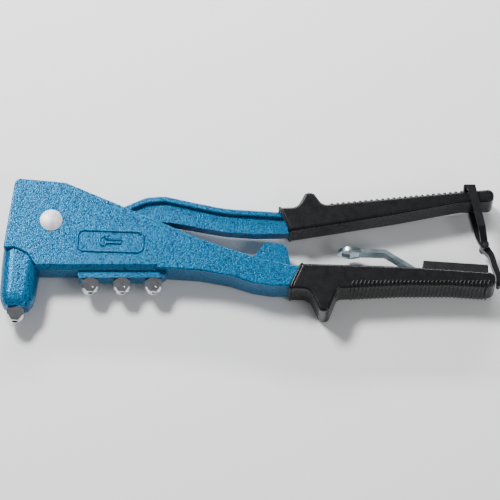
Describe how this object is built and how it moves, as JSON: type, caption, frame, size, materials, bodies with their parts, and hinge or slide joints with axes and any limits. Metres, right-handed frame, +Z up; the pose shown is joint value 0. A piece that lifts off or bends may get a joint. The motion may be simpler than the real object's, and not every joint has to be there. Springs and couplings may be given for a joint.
{
  "type": "hand_riveter",
  "caption": "Two-handled blind rivet hand tool with hammered blue body, black vinyl grips, stored spanner and spare nosepieces",
  "frame": {"origin": "centre of the footprint of the bounding box, on the plane the tool lies on", "axes": "X along the tool from the nose end to the handle ends, Y from the lower handle to the upper, Z up through the thickness"},
  "size_m": [0.2648, 0.0782, 0.0212],
  "materials": {
    "body_blue": "hammertone gloss",
    "satin_steel": "satin",
    "spring_steel": "bright drawn",
    "black_oxide": "oiled black oxide",
    "nose_chrome": "bright plated",
    "grip_vinyl": "semi-gloss vinyl",
    "holder_plastic": "satin",
    "keeper_plastic": "satin",
    "zinc_plate": "bright zinc"
  },
  "bodies": {
    "frame": {"frame_casting": "body_blue", "fulcrum_pin": "satin_steel", "fulcrum_retaining_ring": "spring_steel", "outlet_bush": "black_oxide", "mandrel_guide_tube": "satin_steel", "return_spring": "spring_steel", "lower_grip": "grip_vinyl", "spanner_holder": "holder_plastic"},
    "lever": {"lever_casting": "body_blue", "upper_grip": "grip_vinyl"},
    "case": {"jaw_case": "black_oxide", "jaw_case_nut": "black_oxide", "jaw_spring": "spring_steel"},
    "jaws": {"jaw_left": "black_oxide", "jaw_right": "black_oxide", "jaw_pusher": "black_oxide"},
    "loop": {"keeper_loop": "keeper_plastic", "keeper_pivot_pin": "black_oxide"},
    "tongue": {"keeper_tongue": "keeper_plastic"},
    "spanner_body": {"spanner": "zinc_plate"},
    "nose_fitted_body": {"nosepiece_fitted": "nose_chrome"},
    "spare_a_body": {"nosepiece_spare_a": "nose_chrome"},
    "spare_b_body": {"nosepiece_spare_b": "nose_chrome"},
    "spare_c_body": {"nosepiece_spare_c": "nose_chrome"}
  },
  "joints": [
    {"name": "lever_pivot", "type": "hinge", "parent": "frame", "child": "lever", "pos_m": [-0.10558, 0.01486, 0.0106], "axis": [0, 0, 1], "range_deg": [0, 50]},
    {"name": "jaw_case_slide", "type": "slide", "parent": "frame", "child": "case", "axis": [-0.0924, -0.9957, 0], "range_m": [0, 0.01208], "deforming": ["return_spring"]},
    {"name": "jaws_slide", "type": "slide", "parent": "case", "child": "jaws", "axis": [0.0924, 0.9957, 0], "range_m": [0, 0.0012], "stiffness_N_per_m": 400, "springref_m": -0.002, "deforming": ["jaw_spring"]},
    {"name": "keeper_loop_hinge", "type": "hinge", "parent": "lever", "child": "loop", "pos_m": [0.11432, 0.03381, 0.0106], "axis": [0, 0, 1], "range_deg": [0, 75]},
    {"name": "keeper_tongue_hinge", "type": "hinge", "parent": "loop", "child": "tongue", "pos_m": [0.12412, 0.00286, 0.0106], "axis": [0, 0, 1], "range_deg": [0, 60]},
    {"name": "spanner_slide", "type": "slide", "parent": "frame", "child": "spanner_body", "axis": [-0.8395, 0.5434, 0], "range_m": [0, 0.014]},
    {"name": "nose_fitted_unscrew", "type": "slide", "parent": "frame", "child": "nose_fitted_body", "axis": [-0.0924, -0.9957, 0], "range_m": [0, 0.008]},
    {"name": "spare_a_unscrew", "type": "slide", "parent": "frame", "child": "spare_a_body", "axis": [0, -1, 0], "range_m": [0, 0.008]},
    {"name": "spare_b_unscrew", "type": "slide", "parent": "frame", "child": "spare_b_body", "axis": [0, -1, 0], "range_m": [0, 0.008]},
    {"name": "spare_c_unscrew", "type": "slide", "parent": "frame", "child": "spare_c_body", "axis": [0, -1, 0], "range_m": [0, 0.008]}
  ],
  "couplings": [
    {"joint": "jaw_case_slide", "follows": "lever_pivot", "m_per_rad": 0.013842}
  ]
}
